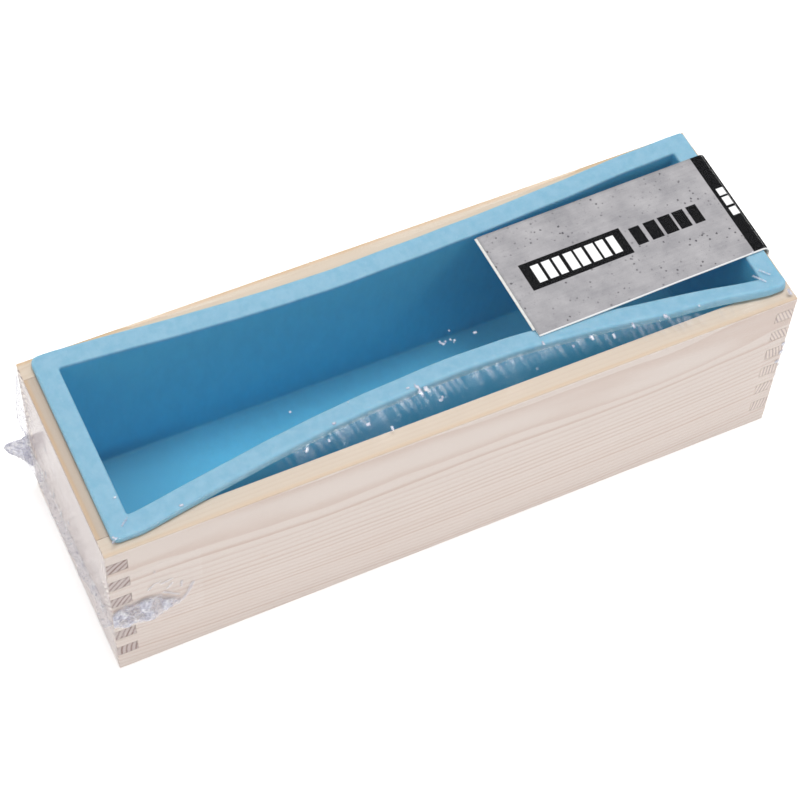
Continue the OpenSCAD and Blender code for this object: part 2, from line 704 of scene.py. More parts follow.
def slab(
    name: str, upper: np.ndarray, lower: np.ndarray, materials: Sequence[bpy.types.Material],
    flat: Optional[np.ndarray] = None, crease: Optional[np.ndarray] = None, ring: bool = False,
) -> bpy.types.Object:
    """A thin sheet between two grids of points, closed along its border.

    Args:
        name: the piece's name.
        upper: one face's points, as rows and columns.
        lower: the other face's points.
        materials: the printed face's material, and the other faces' where it differs.
        flat: each point's place on the flat sheet.
        crease: how crumpled the sheet is at each point, painted highlights included.
        ring: whether the columns close into a ring.

    Returns:
        The sheet.
    """
    rows, columns = upper.shape[:2]
    count = rows * columns
    index = np.arange(count).reshape(rows, columns)
    if ring:
        index = np.concatenate([index, index[:, :1]], axis=1)
    a, b = index[:-1, :-1].ravel(), index[:-1, 1:].ravel()
    c, d = index[1:, 1:].ravel(), index[1:, :-1].ravel()
    top = np.stack([a, b, c, d], 1)
    under = np.stack([d, c, b, a], 1) + count
    rims = [index[0], index[-1]] + ([] if ring else [index[:, 0], index[:, -1]])
    sides = np.concatenate(
        [np.stack([r[:-1], r[1:], r[1:] + count, r[:-1] + count], 1) for r in rims])
    faces = np.concatenate([top, under, sides])
    picks = None
    if len(materials) > 1:
        picks = np.concatenate([np.zeros(len(top)), np.ones(len(under) + len(sides))])
    points = np.concatenate([upper.reshape(-1, 3), lower.reshape(-1, 3)])
    piece = closed_piece(name, points, faces.tolist(), materials, picks)
    mesh = piece.data
    if flat is not None:
        layer = mesh.uv_layers.new(name="sheet")
        places = np.concatenate([flat.reshape(-1, 2)] * 2) * MM
        loops = np.empty(len(mesh.loops), np.int32)
        mesh.loops.foreach_get("vertex_index", loops)
        layer.data.foreach_set("uv", places[loops].ravel().astype(np.float32))
    if crease is not None:
        marks = mesh.attributes.new("crease", "FLOAT", "POINT")
        marks.data.foreach_set("value", np.tile(crease.ravel(), 2).astype(np.float32))
    return piece


class Waves:
    """Smooth random waves over a plane, the same on each run."""

    def __init__(self, seed: int, low: float, high: float, count: int = 24) -> None:
        """Draws the waves.

        Args:
            seed: the seed of the draw.
            low: the shortest wave, in millimetres.
            high: the longest wave.
            count: how many waves are summed.
        """
        draw = np.random.default_rng(seed)
        length = np.exp(draw.uniform(math.log(low), math.log(high), count))
        turn = draw.uniform(0, 2 * math.pi, count)
        self.kx = 2 * math.pi / length * np.cos(turn)
        self.ky = 2 * math.pi / length * np.sin(turn)
        self.phase = draw.uniform(0, 2 * math.pi, count)

    def at(self, x: np.ndarray, y: np.ndarray) -> np.ndarray:
        """The waves' height, mostly between -1 and 1.

        Args:
            x: places along one axis.
            y: places along the other.

        Returns:
            The height at each place.
        """
        total = np.zeros(np.broadcast(x, y).shape)
        for kx, ky, phase in zip(self.kx, self.ky, self.phase):
            total += np.sin(kx * x + ky * y + phase)
        return total / math.sqrt(len(self.phase) / 2) / 1.6


def step(value: np.ndarray, low: float, high: float) -> np.ndarray:
    """A smooth step from 0 at low to 1 at high, for arrays.

    Args:
        value: the values.
        low: where the step starts.
        high: where it ends, which may be below its start.

    Returns:
        The step at each value.
    """
    share = np.clip((np.asarray(value, float) - low) / (high - low), 0.0, 1.0)
    return share * share * (3.0 - 2.0 * share)


def from_line(x: np.ndarray, y: np.ndarray, corners: Sequence[tuple[float, float]]) -> np.ndarray:
    """The distance of each place from a line with corners.

    Args:
        x: places along one axis.
        y: places along the other.
        corners: the line's corners.

    Returns:
        The distance to the nearest of its stretches.
    """
    best = np.full(np.broadcast(x, y).shape, 1e9)
    for (ax, ay), (bx, by) in zip(corners, corners[1:]):
        dx, dy = bx - ax, by - ay
        share = np.clip(((x - ax) * dx + (y - ay) * dy) / (dx * dx + dy * dy), 0.0, 1.0)
        best = np.minimum(best, np.hypot(x - ax - dx * share, y - ay - dy * share))
    return best


def size_of(node: str) -> tuple[np.ndarray, np.ndarray]:
    """A CAD node's lowest and highest corner, in millimetres."""
    low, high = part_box(node)
    return np.array(low) / MM, np.array(high) / MM


@dataclass
class WoodenBox:
    """The finger-jointed pine box: four walls and a base panel."""

    softening: float = 0.35
    finishes: dict[str, PineFinish] = field(
        default_factory=lambda: {
            "front_wall": PineFinish(
                "pine_front", Grain.LENGTH, (2.0, 71.0), 1.9, 7.0, 3.1,
                linear(219, 207, 199), linear(192, 163, 148), linear(146, 118, 110), 0.66,
                linear(214, 197, 176), -45.0, 0.22),
            "back_wall": PineFinish(
                "pine_back", Grain.LENGTH, (-30.0, 20.0), 2.3, -9.0, 17.7,
                linear(224, 210, 197), linear(194, 166, 142), linear(132, 102, 94), 0.6,
                linear(218, 200, 178), 45.0),
            # Painted shade: the left end's wood, late wood and top colours are darker than the
            # other boards' to stand for the shade on that end.
            "left_end_wall": PineFinish(
                "pine_left_end_painted_shade", Grain.WIDTH, (-64.0, 1.0), 2.0, 3.0, 9.4,
                linear(192, 178, 174), linear(168, 145, 136), linear(132, 102, 94), 0.6,
                linear(198, 180, 158), -140.0, 0.34),
            "right_end_wall": PineFinish(
                "pine_right_end", Grain.WIDTH, (60.0, 35.0), 1.4, 2.0, 23.9,
                linear(222, 208, 198), linear(190, 166, 150), linear(166, 146, 144), 0.6,
                linear(214, 196, 172), 140.0),
            "base_panel": PineFinish(
                "pine_base", Grain.LENGTH, (10.0, -70.0), 2.6, 5.0, 41.3,
                linear(222, 206, 186), linear(188, 160, 130), linear(150, 122, 112), 0.7,
                linear(222, 206, 186))})

    def build(self) -> None:
        """Softens the boards' edges and gives each its own timber."""
        for node, finish in self.finishes.items():
            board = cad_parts[node]
            weld = board.modifiers.new("joined_corners", "WELD")
            weld.merge_threshold = 0.01 * MM
            bevel = board.modifiers.new("sanded_edges", "BEVEL")
            bevel.width = self.softening * MM
            bevel.segments = 2
            bevel.limit_method = "ANGLE"
            bevel.angle_limit = math.radians(40)
            bevel.harden_normals = False
            board.data.materials.clear()
            board.data.materials.append(finish.make())
            LOG.info("dressed %s", node)


@dataclass(frozen=True)
class Bow:
    """How far one long side of the liner's mouth is bowed inward along its length."""

    middle: float
    depth: float
    left: float
    right: float
    power: float

    def at(self, x: np.ndarray) -> np.ndarray:
        """The bow at each place along the liner.

        Args:
            x: places along the liner.

        Returns:
            The distance moved inward.
        """
        reach = np.where(x < self.middle, self.left, self.right)
        share = np.clip(np.abs(x - self.middle) / reach, 0.0, 1.0)
        return self.depth * np.cos(share * math.pi / 2) ** self.power


@dataclass
class SiliconeLiner:
    """The one-piece silicone liner, whose long sides are bowed inward at the mouth."""

    lip: float = 6.4
    wall: float = 2.0
    floor: float = 3.4
    rim: float = 3.6
    corners: tuple[float, float, float, float] = (2.8, 3.4, 1.3, 3.0)
    front: Bow = Bow(10.0, 15.3, 135.0, 120.0, 1.07)
    back: Bow = Bow(-20.0, 6.8, 107.0, 150.0, 1.15)
    fade: float = 1.15
    drop: float = 0.5
    tipping: float = 0.85
    curl_from: float = 84.0
    curl_to: float = 122.0
    curl_in: float = 1.1
    curl_up: float = 1.0

    def __post_init__(self) -> None:
        """Reads the liner's place from the frame."""
        self.low, self.high = size_of("silicone_liner")
        inset = self.lip + self.wall
        self.mouth = (
            self.low[0] + inset, self.high[0] - inset, self.low[1] + inset, self.high[1] - inset)
        self.floor_z = self.low[2] + self.floor
        self.top = self.high[2]

    def outline(self, out: float) -> np.ndarray:
        """The liner's outline, as far outside the cavity's wall as asked.

        Args:
            out: the distance outside the wall, negative inside it.

        Returns:
            The outline's points, counted the same for every distance.
        """
        x0, x1, y0, y1 = self.mouth
        x0, x1, y0, y1 = x0 - out, x1 + out, y0 - out, y1 + out
        share = np.clip(out / (self.lip + self.wall), 0.0, 1.0)
        radii = [1.0 + (r - 1.0) * share for r in self.corners]
        centres = [(x0, y0, 1, 1), (x1, y0, -1, 1), (x1, y1, -1, -1), (x0, y1, 1, -1)]
        turns = [180.0, 270.0, 0.0, 90.0]
        counts = [124, 30, 124, 30]
        points = []
        for k, (cx, cy, sx, sy) in enumerate(centres):
            r = radii[k]
            turn = np.radians(turns[k] + np.linspace(0, 90, 7))
            arc = np.stack([cx + sx * r + r * np.cos(turn), cy + sy * r + r * np.sin(turn)], 1)
            points.append(arc)
            nx, ny, nsx, nsy = centres[(k + 1) % 4]
            nr = radii[(k + 1) % 4]
            begin = np.radians(turns[(k + 1) % 4])
            goal = np.array(
                [nx + nsx * nr + nr * math.cos(begin), ny + nsy * nr + nr * math.sin(begin)])
            steps = np.linspace(0, 1, counts[k] + 2)[1:-1, None]
            points.append(arc[-1] + (goal - arc[-1]) * steps)
        return np.concatenate(points)

    def profile(self) -> list[tuple[float, float]]:
        """The liner's section, from the middle underneath round to the cavity's floor.

        Returns:
            The distance outside the cavity's wall and the height of each loop.
        """
        base, floor, top = self.low[2], self.floor_z, self.top
        under, lip = top - self.rim, self.lip + self.wall
        loops = [(-30.0, base), (-12.0, base), (0.3, base), (1.2, base + 0.25),
                 (1.75, base + 0.8), (2.0, base + 1.7)]
        loops += [(2.0, z) for z in np.linspace(base + 4, under - 1.2, 26)]
        loops += [(2.06, under - 0.6), (2.35, under - 0.12), (3.0, under), (5.0, under)]
        loops += [(lip - 1.1, under), (lip - 0.45, under + 0.12), (lip - 0.1, under + 0.5)]
        loops += [(lip, under + 1.0), (lip, top - 1.3), (lip - 0.08, top - 0.7)]
        loops += [(lip - 0.35, top - 0.22), (lip - 0.9, top)]
        loops += [(out, top) for out in (6.2, 4.8, 3.4, 2.0, 1.0)]
        loops += [(0.55, top - 0.06), (0.2, top - 0.25), (0.03, top - 0.6), (0.0, top - 1.2)]
        loops += [(0.0, z) for z in np.linspace(top - 3, floor + 2, 30)]
        loops += [(-0.06, floor + 0.9), (-0.28, floor + 0.35), (-0.7, floor + 0.08)]
        loops += [(-1.4, floor), (-8.0, floor), (-18.0, floor), (-30.0, floor)]
        return loops

    def bent(self, points: np.ndarray) -> np.ndarray:
        """Bows the long sides inward, and tips the rim that they carry.

        Args:
            points: places on the straight liner.

        Returns:
            Their places on the bowed one.
        """
        x, y, z = points[:, 0], points[:, 1], points[:, 2]
        _, _, y0, y1 = self.mouth
        tall = self.top - self.floor_z
        rise = np.clip((z - self.floor_z) / tall, 0.0, None)
        share = np.clip((y - y0) / (y1 - y0), 0.0, 1.0)
        front, back = self.front.at(x), self.back.at(x)
        moved = points.copy()
        moved[:, 1] += ((1 - share) * front - share * back) * rise ** self.fade
        near, far = np.maximum(y0 - y, 0.0), np.maximum(y - y1, 0.0)
        tip = step(rise, 0.75, 1.0)
        moved[:, 2] += tip * (near * front + far * back) * self.fade / tall * self.tipping
        deepest = self.front.depth
        sink = ((1 - share) * (front / deepest) ** 2 + share * (back / deepest) ** 2) * self.drop
        moved[:, 2] -= sink * tip
        level = (z - self.top + self.rim) / self.rim
        curl = step(x, self.curl_from, self.curl_to) * step(level, -0.6, 0.0)
        curl = curl * near / (self.lip + self.wall)
        moved[:, 1] += curl * self.curl_in * (1.0 + np.clip(level, 0.0, 1.0))
        moved[:, 2] += curl * self.curl_up
        return moved

    def build(self) -> bpy.types.Object:
        """Lofts the liner and dresses it.

        Returns:
            The liner.
        """
        loops = []
        for out, z in self.profile():
            flat = self.outline(out)
            loops.append(np.column_stack([flat, np.full(len(flat), z)]))
        rows, columns = len(loops), len(loops[0])
        points = self.bent(np.concatenate(loops))
        wave = Waves(11, 18.0, 70.0)
        upper = step(points[:, 2], self.floor_z + 5, self.top)
        points[:, 1] += wave.at(points[:, 0], points[:, 2]) * 0.12 * upper
        index = np.arange(rows * columns).reshape(rows, columns)
        index = np.concatenate([index, index[:, :1]], axis=1)
        faces = np.stack([index[:-1, :-1].ravel(), index[:-1, 1:].ravel(),
                          index[1:, 1:].ravel(), index[1:, :-1].ravel()], 1).tolist()
        faces.append(index[0, :-1].tolist()[::-1])
        faces.append(index[-1, :-1].tolist())
        piece = closed_piece("liner_shell", points, faces, [SiliconeFinish(self.top).make()])
        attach(piece, "liner")
        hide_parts("silicone_liner")
        LOG.info("built the silicone liner: %d points", len(points))
        return piece


@dataclass
class CardLabel:
    """The folded card label: a lower ply on the rim, and a printed ply over the end."""

    ply: float = 0.36
    fold: float = 3.2
    turn: float = 1.2
    margin: float = 1.0
    notch: float = 3.6
    finish: CardFinish = CardFinish()
    core: CoreFinish = CoreFinish()

    def __post_init__(self) -> None:
        """Reads the label's place from the frame."""
        self.low, self.high = size_of("card_label")
        self.rest = self.high[2] - 0.8 + 0.02
        self.face = self.high[0] - 0.2
        self.middle = (self.low[1] + self.high[1]) / 2

    def path(self, start: float, height: float, reach: float) -> np.ndarray:
        """The line of a ply along its length, over the fold and down the end.

        Args:
            start: where it begins.
            height: its height on the rim.
            reach: how far down the end it hangs, or zero for none.

        Returns:
            Places along, heights, and the two parts of the direction outward.
        """
        centre = self.face - self.fold
        flat = np.arange(start, centre, 1.5)
        rows = [(x, height, 0.0, 1.0) for x in [*flat, centre]]
        if reach:
            for turn in np.radians(np.linspace(0, 90, 10)[1:]):
                s, c = math.sin(turn), math.cos(turn)
                rows.append((centre + self.fold * s, height - self.fold * (1 - c), s, c))
            for down in np.linspace(height - self.fold, height - reach, 16)[1:]:
                rows.append((self.face, down, 1.0, 0.0))
        return np.array(rows)

    def sheet(
        self, name: str, path: np.ndarray, edges: tuple[float, float],
        faces: Sequence[bpy.types.Material],
    ) -> bpy.types.Object:
        """One ply of card along a line.

        Args:
            name: the ply's name.
            path: the line from path().
            edges: its front and back edge.
            faces: the materials of its printed face and of its other faces.

        Returns:
            The ply.
        """
        side = np.linspace(edges[0], edges[1], 35)
        x, y = np.meshgrid(path[:, 0], side, indexing="ij")
        z = np.repeat(path[:, 1][:, None], len(side), 1)
        ox = np.repeat(path[:, 2][:, None], len(side), 1)
        oz = np.repeat(path[:, 3][:, None], len(side), 1)
        lengths = np.hypot(np.diff(path[:, 0]), np.diff(path[:, 1]))
        run = np.concatenate([[0.0], np.cumsum(lengths)]) + path[0, 0] - self.low[0]
        flat = np.stack([np.repeat(run[:, None], len(side), 1), y - self.low[1]], -1)
        free = np.clip((self.face - self.fold - x) / 100.0, 0.0, 1.0)
        angle = math.radians(self.turn)
        wave = Waves(5, 60.0, 160.0, 10).at(x, y)
        turned = x - (y - self.middle) * math.sin(angle) * np.minimum(free * 2.5, 1.0)
        across = y + (x - 90.0) * math.tan(angle)
        lift = (0.16 * wave + 0.1) * step(free, 0.05, 0.4)
        inner = np.stack([turned - ox * self.ply / 2, across, z - oz * self.ply / 2 + lift], -1)
        outer = np.stack([turned + ox * self.ply / 2, across, z + oz * self.ply / 2 + lift], -1)
        return slab(name, outer, inner, faces, flat)

    def build(self) -> list[bpy.types.Object]:
        """Builds the two plies and dresses them.

        Returns:
            The plies.
        """
        printed, core = self.finish.make(), self.core.make()
        under = self.rest + self.ply / 2
        over = under + self.ply + 0.02
        reach = self.high[2] - self.low[2]
        y0, y1 = self.low[1], self.high[1]
        top = self.sheet(
            "label_printed_ply", self.path(self.low[0] + self.margin * 0.35, over, reach - 0.5),
            (y0, y1), [printed, core])
        inner = self.sheet(
            "label_inner_ply", self.path(self.low[0] - self.margin * 0.55, under, 0.0)[:-1],
            (y0 + self.notch, y1 - 0.1), [core])
        pieces = [top, inner]
        for piece in pieces:
            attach(piece, "label")
            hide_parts("card_label")
        LOG.info("built the card label: %d plies", len(pieces))
        return pieces


@dataclass
class ShrinkFilm:
    """The shrink film: the sheet over the top, the wrap, and the folded ends."""

    thick: float = 0.05
    clear: float = 0.12
    seal_z: float = 31.0
    slack_z: float = 86.5
    rounds: int = 1500
    finish: FilmFinish = FilmFinish()
    # Painted highlights on the wrap: spots given as x, y, z and width that are marked milky white
    # to look like glints.
    glints: tuple[tuple[float, float, float, float], ...] = (
        (-140.0, 18.3, 62.5, 1.2), (-140.0, 24.5, 36.5, 1.4), (-140.0, 16.5, 33.5, 1.1),
        (-140.0, -0.2, 38.4, 1.3), (-140.0, 8.0, 34.0, 1.0), (139.6, -45.0, 53.0, 1.3),
        (139.4, -45.0, 47.5, 1.4), (138.6, -45.0, 42.0, 1.1), (140.0, -44.4, 38.0, 1.1))

    def __post_init__(self) -> None:
        """Reads the box's place from the frame."""
        high, back = size_of("front_wall")[1], size_of("back_wall")[1]
        self.half_l, self.half_w = high[0], back[1]
        self.wood_top = high[2]
        self.material = self.finish.make()

    def drape(self, supports: Sequence[bpy.types.Object]) -> tuple[np.ndarray, ...]:
        """Lays a tight sheet over the supports by letting it settle on a grid.

        Args:
            supports: the pieces that it lies on.

        Returns:
            The grid's places along and across, and its heights.
        """
        graph = bpy.context.evaluated_depsgraph_get()
        trees = [BVHTree.FromObject(piece, graph) for piece in supports]
        reach_l, reach_w = self.half_l + self.clear, self.half_w + self.clear
        xs = np.linspace(-reach_l, reach_l, 188)
        ys = np.linspace(-reach_w, reach_w, 63)
        held = np.full((len(xs), len(ys)), self.wood_top - 20.0)
        for i, x in enumerate(xs):
            for j, y in enumerate(ys):
                for tree in trees:
                    hit = tree.ray_cast(Vector((x, y, 150.0)) * MM, Vector((0, 0, -1)))[0]
                    if hit is not None:
                        held[i, j] = max(held[i, j], hit.z / MM)
        around = [np.roll(held, (i, j), (0, 1)) for i in (-1, 0, 1) for j in (-1, 0, 1)]
        held = np.max(around, axis=0) + self.clear
        edge = np.zeros_like(held, bool)
        edge[[0, -1], :] = edge[:, [0, -1]] = True
        height = np.where(edge, self.wood_top, self.slack_z)
        for _ in range(self.rounds):
            mean = height.copy()
            mean[1:-1, 1:-1] = (
                height[2:, 1:-1] + height[:-2, 1:-1] + height[1:-1, 2:] + height[1:-1, :-2]
            ) / 4
            height = np.where(edge, self.wood_top, np.maximum(mean, held))
        return xs, ys, height

    def sheet(
        self, name: str, lower: np.ndarray, lift: Sequence[float], crease: np.ndarray
    ) -> bpy.types.Object:
        """One sheet of film.

        Args:
            name: the piece's name.
            lower: one face's points, as rows and columns.
            lift: how far the other face is moved from it.
            crease: how crumpled the film is at each point, painted highlights included.

        Returns:
            The sheet.
        """
        return slab(name, lower + np.asarray(lift, float), lower, [self.material], crease=crease)

    def top_sheet(
        self, supports: Sequence[bpy.types.Object], liner: SiliconeLiner
    ) -> bpy.types.Object:
        """The sheet over the rim, the label and the open mouth.

        Args:
            supports: the pieces that it lies on.
            liner: the liner, whose bowed side the film's fine pleats run from.

        Returns:
            The sheet.
        """
        xs, ys, coarse = self.drape(supports)
        fine_x = np.linspace(xs[0], xs[-1], 420)
        fine_y = np.linspace(ys[0], ys[-1], 116)
        step_x = np.array([np.interp(fine_x, xs, coarse[:, j]) for j in range(len(ys))]).T
        z = np.array([np.interp(fine_y, ys, row) for row in step_x])
        x, y = np.meshgrid(fine_x, fine_y, indexing="ij")
        _, _, y0, _ = liner.mouth
        lip = y0 - liner.lip - liner.wall + liner.front.at(x)
        depth = lip - y
        reach = step(np.abs(x - 22.0), 112.0, 66.0)
        gap = step(depth, 0.6, 2.6) * step(depth, 12.0, 2.0) * reach
        pleat = Waves(21, 2.1, 4.0, 40).at(x + 0.18 * y, y * 0.08)
        streak = Waves(23, 2.0, 9.0, 40).at(x + 0.10 * y, y * 0.12)
        border = step(self.half_l - np.abs(x), 0.0, 3.0) * step(self.half_w - np.abs(y), 0.0, 3.0)
        slack = Waves(4, 14.0, 60.0).at(x, y)
        z = z + border * (0.10 + 0.10 * slack + gap * (0.05 * pleat + 0.08))
        # Along the pleats the milky ribs are partly the film's own whitening and partly painted
        # sheen.
        crease = gap * (0.15 + 0.19 * step(pleat + 0.3 * streak, -0.7, 1.2)) * border
        # Painted highlights: the sparkle marks turn the film milky white at small crumples.
        spark, bump = self.sparks(x, y)
        z += border * bump
        crease = np.clip(crease + spark, 0.0, 1.0)
        piece = self.sheet("film_top_sheet", np.stack([x, y, z], -1), (0, 0, self.thick), crease)
        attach(piece, "film")
        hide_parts("film_top")
        return piece

    def sparks(self, x: np.ndarray, y: np.ndarray) -> tuple[np.ndarray, np.ndarray]:
        """Small crumples in the top sheet, with painted highlights where it catches the light.

        Args:
            x: places along.
            y: places across.

        Returns:
            The painted highlight at each place, and how far it stands up.
        """
        spots = [
            (-11.3, -27.5, 1.3, 3.6), (-14.8, -25.9, 1.0, 1.3), (-8.4, -28.5, 1.2, 2.2),
            (-4.8, -33.7, 1.6, 1.0), (5.7, -12.0, 2.0, 1.3), (9.8, -12.8, 1.2, 1.4),
            (6.6, -8.4, 0.8, 0.8), (10.2, -8.5, 0.8, 0.8), (18.7, -13.2, 0.9, 0.8),
            (21.9, -14.1, 0.9, 0.8), (-37.9, -22.4, 1.1, 1.0), (-45.1, -28.7, 1.4, 1.4),
            (-50.1, -33.6, 0.9, 1.0), (-59.0, -34.3, 1.2, 1.2), (-34.1, -33.1, 1.0, 1.2),
            (-26.7, -37.8, 1.1, 0.8), (-58.0, -17.8, 1.0, 0.8), (39.7, -27.4, 1.0, 1.6),
            (33.5, -35.5, 0.9, 1.1), (-135.3, -41.0, 1.0, 1.5), (-133.6, -41.4, 0.7, 0.7),
            (-108.1, -38.1, 1.1, 0.8), (-128.2, -25.5, 0.8, 0.8),
            (138.0, -43.1, 1.5, 1.0), (137.0, -41.6, 0.7, 0.7),
            (101.8, -35.6, 1.2, 0.9), (88.1, -34.6, 1.6, 1.8), (84.5, -35.1, 0.9, 0.9),
            (57.6, -31.8, 1.0, 1.5), (74.6, -33.0, 1.0, 1.8), (50.0, -32.6, 0.8, 1.2),
            (66.0, -34.6, 0.8, 1.1), (133.0, -21.0, 0.7, 1.0)]
        # Thin painted highlights along short lines.
        lines = [
            ((130.7, -30.1), (133.3, -33.4)), ((127.0, -31.6), (130.6, -36.1)),
            ((-130.4, -37.4), (-129.4, -36.6)), ((-129.4, -36.6), (-127.6, -35.1))]
        crumple = Waves(31, 1.4, 3.4, 30).at(x, y)
        near = np.zeros_like(x)
        for px, py, wide, deep in spots:
            near += np.exp(-(((x - px) / wide) ** 2 + ((y - py) / deep) ** 2))
        near = np.clip(near, 0.0, 1.0)
        mark = step(near * (0.75 + 0.5 * crumple), 0.45, 0.8)
        for start, stop in lines:
            mark = np.maximum(mark, 0.7 * step(from_line(x, y, [start, stop]), 0.55, 0.1))
        return mark * 0.95, near * crumple * 0.25

    def wrap(self) -> bpy.types.Object:
        """The film under the box and up its four sides.

        Returns:
            The wrap.
        """
        off = self.clear
        heights = np.linspace(0.0, self.wood_top - 0.1, 76)
        perimeter = self._ring(self.half_l + off, self.half_w + off)
        rows_o, rows_i, marks = [], [], []
        wave, crumple = Waves(8, 20.0, 70.0), Waves(9, 1.6, 5.0, 30)
        for shrink in (0.02, 0.5, 0.97):
            base = self._ring((self.half_l + off) * shrink, (self.half_w + off) * shrink)
            for z, rows in ((-0.0, rows_o), (self.thick, rows_i)):
                rows.append(np.column_stack([base[:, :2], np.full(len(base), z + 0.06)]))
            marks.append(np.zeros(len(base)))
        run = np.arange(len(perimeter)) * 1.0
        x, y, side = perimeter[:, 0], perimeter[:, 1], perimeter[:, 2:4]
        end, corner = (step(np.abs(x), self.half_l - wide, self.half_l) for wide in (3, 14))
        for z in heights:
            belt = np.exp(-(((z - self.seal_z) / 6.0) ** 2)) * end
            near = np.exp(-(((z - self.seal_z - 3.0) / 14.0) ** 2)) * corner
            calm = step(z, 0.0, 4.0) * step(self.wood_top - z, 0.0, 4.0)
            out = calm * (0.12 + 0.10 * wave.at(run, np.full_like(run, z)))
            rough = crumple.at(run, np.full_like(run, z))
            out = out + calm * np.clip(belt + near * 0.12, 0, 1) * np.abs(rough) * 0.6
            level = np.full(len(run), max(z, 0.06))
            for rows, far in ((rows_o, out + self.thick), (rows_i, out)):
                rows.append(np.column_stack([x + side[:, 0] * far, y + side[:, 1] * far, level]))
            # Painted highlights at the glint spots.
            glint = np.max([
                np.exp(-((x - sx) ** 2 + (y - sy) ** 2) / wide ** 2 - ((z - sz) / wide) ** 2)
                for sx, sy, sz, wide in self.glints
            ], axis=0)
            mark = belt * 0.35 * step(rough, 0.2, 1.0) + near * 0.05
            marks.append(np.clip(mark + 0.9 * step(glint, 0.3, 0.8), 0, 1))
        piece = slab("film_wrap_sheet", np.array(rows_o), np.array(rows_i), [self.material],
                     crease=np.array(marks), ring=True)
        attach(piece, "box")
        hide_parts("film_wrap")
        return piece

    def fin(
        self, name: str, side: float, line: Sequence[tuple[float, float]], seed: int
    ) -> bpy.types.Object:
        """The crumpled seal across one end.

        Args:
            name: the piece's name.
            side: -1 for the left end, or 1 for the right end.
            line: places across the end, and the seal's height at each.
            seed: the seed of its crumples.

        Returns:
            The seal.
        """
        across = np.linspace(-self.half_w - 0.3, self.half_w + 0.3, 260)
        out = np.linspace(0.0, 1.0, 9)
        y, share = np.meshgrid(across, out, indexing="ij")
        height = np.interp(y, [p[0] for p in line], [p[1] for p in line])
        rough, curl = Waves(seed, 1.3, 4.0, 30), Waves(seed + 1, 8.0, 30.0)
        width = 3.0 + 0.9 * curl.at(y, y * 0.0)
        folds = rough.at(y, share * 4.0)
        x = self.half_l + self.clear + share * width + 0.15 * folds * share
        z = height + 0.9 * curl.at(y, share * 3.0 + 50.0) + (0.22 * folds - 0.8) * share
        crease = 0.34 + 0.22 * step(folds, 0.6, 1.4) + 0.10 * curl.at(y + 9.0, y * 0.0)
        lower = np.stack([side * x, y, z], -1)
        return self.sheet(name, lower, (0, 0, 2 * self.thick), crease)

    def dog_ear(
        self, name: str, root: tuple[float, float, float], tip: tuple[float, float, float],
        tall: float, seed: int, murk: float = 0.78,
    ) -> bpy.types.Object:
        """A pinched ear of film that stands out from a corner.

        Args:
            name: the piece's name.
            root: the middle of its line on the corner.
            tip: its tip.
            tall: half its height at the corner.
            seed: the seed of its crumples.
            murk: how milky it is.

        Returns:
            The ear.
        """
        along, over = np.meshgrid(np.linspace(0, 1, 48), np.linspace(-1, 1, 60), indexing="ij")
        start, goal = np.array(root), np.array(tip)
        middle = start + (goal - start) * along[..., None]
        waist = 1.0 - 0.76 * along ** 0.75
        nose = np.clip((along - 0.8) / 0.2, 0, 1)
        half = tall * waist * np.sqrt(np.clip(1 - nose ** 2, 0.01, 1))
        rough = Waves(seed, 1.2, 3.6, 36).at(along * 9.0, over * half)
        out = (goal - start)[:2] / np.linalg.norm((goal - start)[:2])
        side = np.array([-out[1], out[0], 0.0])
        lower = middle + over[..., None] * half[..., None] * np.array([0.0, 0.0, 1.0])
        lower = lower + side * (0.22 * rough + 0.5 * np.sin(over * 2.0))[..., None]
        border = 0.2 * step(np.abs(over), 0.75, 1.0) + 0.15 * step(along, 0.8, 1.0)
        crease = np.clip(murk + 0.08 * rough + border, 0, 1)
        return self.sheet(name, lower, side * self.thick * 2, crease)

    def folded_ear(self) -> bpy.types.Object:
        """The ear that is folded flat on the front wall beside the left corner.

        Returns:
            The ear.
        """
        x, z = np.meshgrid(
            np.linspace(-self.half_l - 0.4, -105.0, 110), np.linspace(25.0, 66.0, 120),
            indexing="ij")
        floor = np.interp(
            x, [-141, -138, -133, -125, -119, -114], [33, 31, 29.6, 29.0, 31.0, 34.6])
        roof = np.interp(x, [-141, -138, -129, -122, -114], [41.5, 45.2, 46.2, 44.4, 37.6])
        wobble = 0.8 * Waves(51, 4.0, 12.0).at(x, z)
        inside = step(z - floor + wobble, -0.6, 2.2) * step(roof + wobble - z, -1.5, 3.0)
        inside = inside * step(-113.0 - x, 0.0, 1.5)
        rough = Waves(52, 1.6, 4.6, 40).at(x, z)
        broad = Waves(53, 5.0, 13.0, 30).at(x, z)
        tail = [(-115.5, 33.6), (-113.0, 35.6), (-110.9, 39.0), (-108.8, 44.6)]
        # Painted highlights: these arcs stand a little out and are marked milky, for glints on the
        # folded ear.
        glint_arcs = ([(-125.6, 50.6), (-123.6, 53.0), (-121.0, 53.4)], [(-120.6, 51.6), (-116.4, 52.4)],
                [(-118.4, 47.0), (-116.6, 49.4)], [(-122.9, 61.2), (-122.7, 62.0)],
                [(-113.2, 44.8), (-113.0, 48.2)], [(-120.0, 45.2), (-114.4, 39.6)])
        ridge = 0.8 * step(from_line(x, z, tail), 1.5, 0.2)
        folds = np.zeros_like(x)
        for arc in glint_arcs:
            folds = np.maximum(folds, step(from_line(x, z, arc), 0.9, 0.1))
        haze = 0.07 * step(from_line(x, z, [(-136.0, 49.0), (-116.0, 47.0)]), 9.0, 2.0)
        milky = inside * np.clip(
            0.36 + 0.32 * step(broad, -0.6, 1.0) + 0.24 * step(np.abs(rough), 0.3, 0.0), 0, 1)
